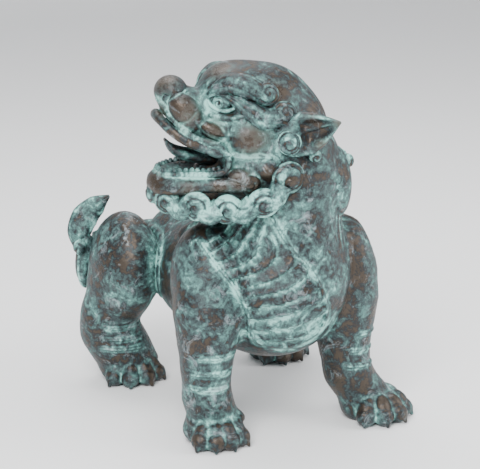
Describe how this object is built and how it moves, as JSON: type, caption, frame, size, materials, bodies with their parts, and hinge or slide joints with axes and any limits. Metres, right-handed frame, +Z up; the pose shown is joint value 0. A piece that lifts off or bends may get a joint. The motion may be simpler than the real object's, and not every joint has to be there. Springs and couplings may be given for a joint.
{
  "type": "foo dog statue",
  "caption": "Standing guardian lion in patinated bronze, head turned to its right with open jaws, on flat paws for a shelf or plinth.",
  "frame": {"origin": "centre of the bounding box at the ground, under the paws", "axes": "+Z up, -Y the way the breast faces, +X towards the lion's own left"},
  "size_m": [0.2354, 0.28, 0.31],
  "materials": {
    "verdigris_bronze": "cast bronze with blue-green verdigris patina, worn dark brown on the high spots",
    "eye_bronze": "cast bronze, darker patina"
  },
  "bodies": {
    "root": {"beard_curl_left_1": "verdigris_bronze", "beard_curl_left_2": "verdigris_bronze", "beard_curl_left_3": "verdigris_bronze", "beard_curl_left_4": "verdigris_bronze", "beard_curl_right_1": "verdigris_bronze", "beard_curl_right_2": "verdigris_bronze", "beard_curl_right_3": "verdigris_bronze", "beard_curl_right_4": "verdigris_bronze", "belly_plug": "verdigris_bronze", "brow_left": "verdigris_bronze", "brow_right": "verdigris_bronze", "chin_curl": "verdigris_bronze", "ear_left": "verdigris_bronze", "ear_right": "verdigris_bronze", "eye_left": "eye_bronze", "eye_right": "eye_bronze", "front_leg_left": "verdigris_bronze", "front_leg_right": "verdigris_bronze", "head_shell": "verdigris_bronze", "hind_leg_left": "verdigris_bronze", "hind_leg_right": "verdigris_bronze", "lower_jaw": "verdigris_bronze", "lower_teeth": "verdigris_bronze", "nape_lock": "verdigris_bronze", "nose": "verdigris_bronze", "tail_curl": "verdigris_bronze", "tail_leaf": "verdigris_bronze", "tail_stem": "verdigris_bronze", "tongue": "verdigris_bronze", "torso_shell": "verdigris_bronze", "upper_teeth": "verdigris_bronze"}
  },
  "joints": []
}
